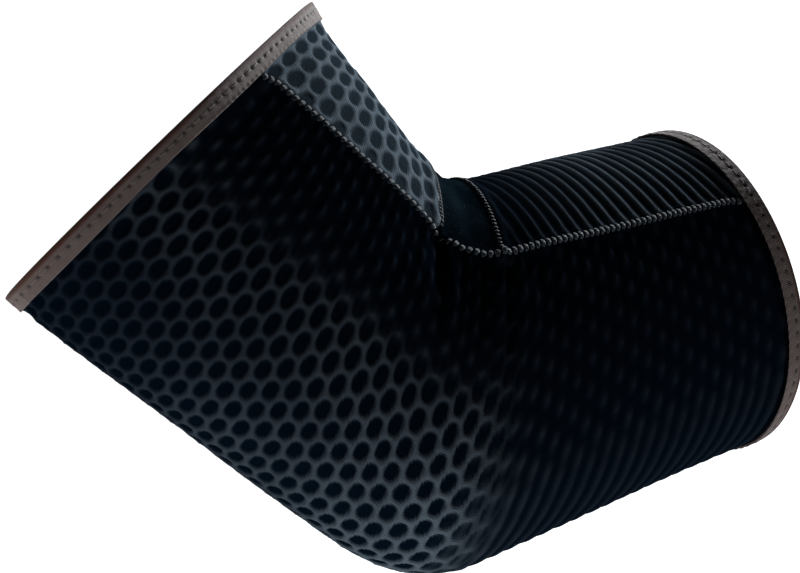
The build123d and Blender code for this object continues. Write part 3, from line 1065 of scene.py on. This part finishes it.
def strand_cloth(run):
    """Cloth coordinates of a strand: the length along it, and its turns round it."""
    turn = np.tile(np.arange(STRAND_SIDES) / STRAND_SIDES, len(run))
    return np.stack((np.repeat(run, STRAND_SIDES), turn), -1)


def short_strands(name, rings, runs):
    """One piece of many short strands, each pressed flat where it would sink into the table."""
    points, faces = [], []
    for ring in rings:
        ring[..., 2] = pressed(ring[..., 2])
        faces += capped_tube(ring.shape[:2], len(points) * ring.shape[0] * STRAND_SIDES)
        points.append(ring.reshape(-1, 3))
    cloth = np.concatenate([strand_cloth(run) for run in runs])
    return make_piece(name, np.concatenate(points), faces, cloth)


def bead_strands(name, path, along, across, out, width, slant, pitch, size, dip):
    """A row of slanting beads, each a capped strand that dips into the cloth at both ends."""
    places = spaced(path, pitch)
    middle, way, side, up = (at(v, places) for v in (path, along, across, out))
    shares = np.linspace(-1, 1, 9)
    swell = (1 - BEAD_TAPER * np.abs(shares) ** 3)[:, None, None]
    rings, runs = [], []
    for k in range(len(places)):
        arch = up[k] * (dip * (0.25 - 1.25 * shares[:, None] ** 4))
        line = middle[k] + side[k] * (shares * width / 2)[:, None]
        line = line + way[k] * (shares * slant / 2)[:, None] + arch
        rings.append(line[:, None] + (strand(line, up[k], size) - line[:, None]) * swell)
        runs.append(shares * BEAD_TWIST + k * TWIST_SHIFT)
    return short_strands(name, rings, runs)


def zigzag_strand(name, path, along, across, out, width, pitch, size, dip):
    """One strand that runs to and fro across a seam and dips where it turns."""
    places = spaced(path, pitch / 2)
    fine = np.linspace(places[0], places[-1], len(places) * 6)
    middle, side, up = (at(v, fine) for v in (path, across, out))
    wave = np.interp(fine, places, np.arange(len(places)))
    swing = np.sin(wave * np.pi)
    swing = np.sign(swing) * np.abs(swing) ** 0.7
    line = middle + side * (swing * width / 2)[:, None] - up * (dip * swing**4)[:, None]
    ring = strand(line, up, size)
    run = np.concatenate(([0.0], np.cumsum(np.linalg.norm(np.diff(line, axis=0), axis=1))))
    return make_piece(name, ring.reshape(-1, 3), capped_tube(ring.shape[:2]), strand_cloth(run))


# %% Side seams
SEAM_START = 0.63
SIDE_LOOPER_WIDTH, SIDE_LOOPER_SIZE, SIDE_LOOPER_DIP = 2.6, (0.4, 0.36), -0.15
seam_u = np.linspace(SEAM_START, 5 - SEAM_START, 700)
seam_pieces = {}
for side, sign in {"top": 1, "under": -1}.items():
    seam_path = sign * seam_angle(seam_u)
    name = f"{side}_side_seam"
    outside = seam_frame(seam_u, seam_path, COVER_RISE)
    bead = (BEAD_WIDTH, sign * BEAD_SLANT, STITCH_PITCH, (STRAND_WIDE, STRAND_HIGH), STRAND_DIP)
    seam_pieces[f"{name}_cover_thread"] = bead_strands(f"{name}_cover_stitches", *outside, *bead)
    inside = seam_frame(seam_u, seam_path, LOOPER_RISE)
    loop = (SIDE_LOOPER_WIDTH, 2 * STITCH_PITCH, SIDE_LOOPER_SIZE, SIDE_LOOPER_DIP)
    seam_pieces[f"{name}_looper_thread"] = zigzag_strand(f"{name}_looper_stitches", *inside, *loop)

# %% [markdown]
# The two seams across the crook run round the arm from one side seam to the other. Their stitches
# are smaller and pull the knit up against the front panels.

# %% Crook seams
CROOK_BEAD_WIDTH, CROOK_BEAD_SLANT, CROOK_STITCH_PITCH, CROOK_STRAND = 1.7, 0.7, 1.6, (1.05, 0.5)
CROOK_LOOPER_WIDTH, CROOK_LOOPER_SIZE, CROOK_LOOPER_DIP = 1.2, (0.36, 0.34), -0.12
CROOK_SEAM_START = 1.6  # degrees from the side seam
CROOK_COVER_RISE = COVER_RISE + 0.1
CROOK_LOOPER_SHIFT = 0.02  # stations
for end, edge, lean in (("upper", CROOK_EDGES[0], 1), ("forearm", CROOK_EDGES[1], -1)):
    start = float(seam_angle(edge)) + CROOK_SEAM_START
    angle = np.linspace(start, 360 - start, 400)
    along_edge = np.full(angle.shape, edge)
    name = f"crook_{end}_seam"
    outside = seam_frame(along_edge, angle, CROOK_COVER_RISE)
    bead = (CROOK_BEAD_WIDTH, lean * CROOK_BEAD_SLANT, CROOK_STITCH_PITCH, CROOK_STRAND, STRAND_DIP)
    seam_pieces[f"{name}_cover_thread"] = bead_strands(f"{name}_cover_stitches", *outside, *bead)
    inside = seam_frame(along_edge - lean * CROOK_LOOPER_SHIFT, angle, LOOPER_RISE)
    loop = (CROOK_LOOPER_WIDTH, 2 * CROOK_STITCH_PITCH, CROOK_LOOPER_SIZE, CROOK_LOOPER_DIP)
    seam_pieces[f"{name}_looper_thread"] = zigzag_strand(f"{name}_looper_stitches", *inside, *loop)
for piece in seam_pieces.values():
    piece.data.materials.append(seam_yarn)
print("seam pieces:", len(seam_pieces))

# %% [markdown]
# ## The bindings
#
# A ribbed tape is folded over each raw opening and sewn down along its middle. Every stitch pulls
# the tape in a little and the tape puffs out between them, and the needle leaves a small dark hole.
# The tape is one outline, a long U with thickness, carried round the opening.

# %% Binding tape
TAPE_WIDTH, TAPE_THICK, TAPE_FACE, TAPE_BACK, TAPE_SLOT_BACK = 6.0, 0.7, 0.8, -4.3, -3.6
BINDING_PITCH, STITCH_LINE = 3.8, 3.0
PUCKER, PUCKER_WIDTH, HOLE_SIZE, HOLE_DEPTH = 0.05, 1.5, 0.5, 0.22
RUFFLE_RISE, WANDER, WANDER_LENGTH = 0.12, 0.18, 11.0  # of the tape's free edge
FOLD_CURVE, FOLD_FADE = 0.9, (1.1, 1.9)  # mm from the opening
TAPE_STEPS, STEPS_PER_STITCH = 18, 8


def tape_outline():
    """Closed U outline as (distance from the opening, rise, 1 outside to -1 inside, fold mask)."""
    run = np.linspace(TAPE_WIDTH, FOLD_CURVE, TAPE_STEPS)
    top = [(d, TAPE_FACE, 1.0, 1 - smooth(d, *FOLD_FADE)) for d in run]
    nose_middle, nose_high = (TAPE_FACE + TAPE_BACK) / 2, (TAPE_FACE - TAPE_BACK) / 2
    nose = []
    for turn in np.radians(np.linspace(80, -80, 13)):
        distance, side = FOLD_CURVE - FOLD_CURVE * np.cos(turn) ** 0.5, np.sin(turn)
        nose.append((distance, nose_middle + nose_high * side, side, smooth(side, -0.3, 0.3)))
    below = [(d, TAPE_BACK, -1.0, 0.0) for d in run[::-1]]
    inside_back = [(d, TAPE_SLOT_BACK, -1.0, 0.0) for d in run[::3]]
    slot_nose = [(0.95, TAPE_SLOT_BACK + 0.5, -0.5, 0.0), (0.95, -0.3, 0.5, 0.0)]
    inside_top = [(d, 0.12, 1.0, 0.0) for d in run[::-3]]
    return np.array(top + nose + below + inside_back + slot_nose + inside_top)


def binding(name, opening):
    """The tape of one opening. Stations count inwards from it."""
    outline = tape_outline()
    inward = 1 if opening == 0 else -1
    table_angles, table = girth_tables(np.array([float(opening)]))
    full = 2 * table[0, -1]
    stitches = int(round(full / BINDING_PITCH))
    steps = stitches * STEPS_PER_STITCH
    place = np.arange(steps) * full / steps
    turns = np.concatenate((table_angles, 360 - table_angles[-2::-1]))
    around = np.concatenate((table[0], full - table[0, -2::-1]))
    angle = np.interp(place, around, turns)[:, None]
    distance, rise, side, fold = (outline[None, :, k] for k in range(4))
    beat = np.cos(2 * np.pi * place / full * stitches)[:, None]
    near_stitch = np.exp(-(((distance - STITCH_LINE) / PUCKER_WIDTH) ** 2))
    puff = PUCKER * (0.5 - 0.5 * beat) * near_stitch
    puff = puff - 0.5 * PUCKER * near_stitch * (0.5 + 0.5 * beat)
    ruffle = np.sin(2 * np.pi * place / full * stitches * 1.5)[:, None]
    free_edge = RUFFLE_RISE * smooth(distance, 4.6, TAPE_WIDTH) * ruffle
    wander = np.sin(place / WANDER_LENGTH + opening)[:, None]
    wander = WANDER * wander * smooth(distance, 3.5, TAPE_WIDTH)
    outer_face = (np.abs(rise - TAPE_FACE) < 0.01) | (np.abs(rise - TAPE_BACK) < 0.01)
    lift = np.where(outer_face, np.sign(side) * (puff + free_edge), 0.0)
    off_hole = np.hypot(distance - STITCH_LINE, (1 - beat) * BINDING_PITCH / 4)
    hole = np.where(np.abs(rise - TAPE_FACE) < 0.01, np.exp(-((off_hole / HOLE_SIZE) ** 2)), 0.0)
    lift = lift - HOLE_DEPTH * hole
    u = opening + inward * (distance + wander) / CUFF
    u = np.broadcast_to(u, (steps, outline.shape[0]))
    points = wall(u, np.broadcast_to(angle, u.shape), rise + lift)
    number = np.arange(points.shape[0] * points.shape[1]).reshape(points.shape[:2])
    ahead, beside = np.roll(number, -1, 0), np.roll(number, -1, 1)
    quads = np.stack((number, beside, np.roll(ahead, -1, 1), ahead), -1).reshape(-1, 4)
    faces = (quads[:, ::-1] if inward == 1 else quads).tolist()
    across = np.concatenate(([0.0], np.cumsum(np.hypot(*np.diff(outline[:, :2], axis=0).T))))
    cloth = np.stack(np.broadcast_arrays(across[None, :], place[:, None]), -1)
    masks = {"hole": hole, "fold": np.broadcast_to(fold, hole.shape)}
    piece = make_piece(name, points.reshape(-1, 3), faces, cloth.reshape(-1, 2), masks)
    piece.data.materials.append(binding_tape_weave)
    print(name, "girth", round(full, 1), "mm,", stitches, "stitches")
    return piece, stitches, full, (around, turns)


# the needle's and the bobbin's stitches: rise in mm, dip at their ends and size
NEEDLE_STITCH, BOBBIN_STITCH = (0.84, 0.45, (0.38, 0.26)), (-4.36, -0.4, (0.42, 0.34))
STITCH_REACH, STITCH_SHIFT = 0.40, 0.53  # half a stitch in pitches; mm of twist from one to the next


def binding_stitches(name, opening, stitches, full, lookup, rise, dip, size):
    """Short strands along the middle of the tape, from hole to hole."""
    inward = 1 if opening == 0 else -1
    shares = np.linspace(-STITCH_REACH, STITCH_REACH, 9)
    rings, runs = [], []
    for k in range(stitches):
        place = ((k + 0.5 + shares) * full / stitches) % full
        angle = np.interp(place, *lookup)
        u = np.full(len(shares), opening + inward * STITCH_LINE / CUFF)
        heights = rise - dip * (np.abs(shares) / STITCH_REACH) ** 4
        line = wall(u, angle, heights)
        out = unit(wall(u, angle, heights + 1.0) - line)
        rings.append(strand(line, out, size))
        runs.append(shares * BINDING_PITCH + k * STITCH_SHIFT)
    piece = short_strands(name, rings, runs)
    piece.data.materials.append(binding_yarn)
    return piece


binding_pieces = {}
for end, opening in {"upper": 0, "forearm": 5}.items():
    tape, *round_it = binding(f"{end}_binding_ribbed_tape", opening)
    needle = binding_stitches(f"{end}_binding_needle_stitches", opening, *round_it, *NEEDLE_STITCH)
    bobbin = binding_stitches(f"{end}_binding_bobbin_stitches", opening, *round_it, *BOBBIN_STITCH)
    binding_pieces[end] = {"tape": tape, "needle_thread": needle, "bobbin_thread": bobbin}

# %% [markdown]
# ## Joining the pieces to the frame
#
# The sleeve bends at the elbow, and its cloth crosses the hinge. Every ply and every seam is
# baked in place where it was made. The bindings are far from the bend and ride stiffly on their
# own halves. For each ply of cloth but the foam, its cut size and its panel's lining area are
# printed.

# %% Bake, ride and print cut sizes
UPPER, FOREARM = "upper_arm_half", "forearm_half"


def bends(piece):
    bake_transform(piece)


def cloth_area(piece):
    """Half the surface of a thin closed ply in square metres: the area of its cloth."""
    return sum(face.area for face in piece.data.polygons) / 2


def flat_size(piece):
    """The width and length in metres of the cloth's own coordinates."""
    layer = piece.data.uv_layers["cloth"].uv
    cloth = np.empty(len(layer) * 2, np.float32)
    layer.foreach_get("vector", cloth)
    cloth = cloth.reshape(-1, 2)
    return tuple(float(v) for v in np.ptp(cloth, axis=0))


for panel, plies in panel_pieces.items():
    for ply, piece in plies.items():
        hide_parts(f"{panel}_{ply}")
        bends(piece)
        if ply == "foam_core":
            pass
        else:
            size = flat_size(piece)
            area = cloth_area(panel_pieces[panel]["lining"])
            print(piece.name, "cut", [round(v, 3) for v in size], "m, area", round(area, 4))

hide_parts("crook_panel_knit")
bends(crook_panel)
size, area = flat_size(crook_panel), cloth_area(crook_panel)

for node, piece in seam_pieces.items():
    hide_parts(node)
    bends(piece)

for end, body in {"upper": UPPER, "forearm": FOREARM}.items():
    for part, piece in binding_pieces[end].items():
        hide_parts(f"{end}_binding_{part}")
        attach(piece, body)

# %% [markdown]
#
# The cloth may stand a little proud of the frame's solids. The frame's boxes of four parts are
# printed.

# %% Print the frame's boxes
for node in ("back_panel_face_fabric", "upper_binding_tape", "forearm_binding_tape", "crook_panel_knit"):
    low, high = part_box(node)
    print(node, "frame box in mm:", [round(v / MM, 1) for v in low], [round(v / MM, 1) for v in high])
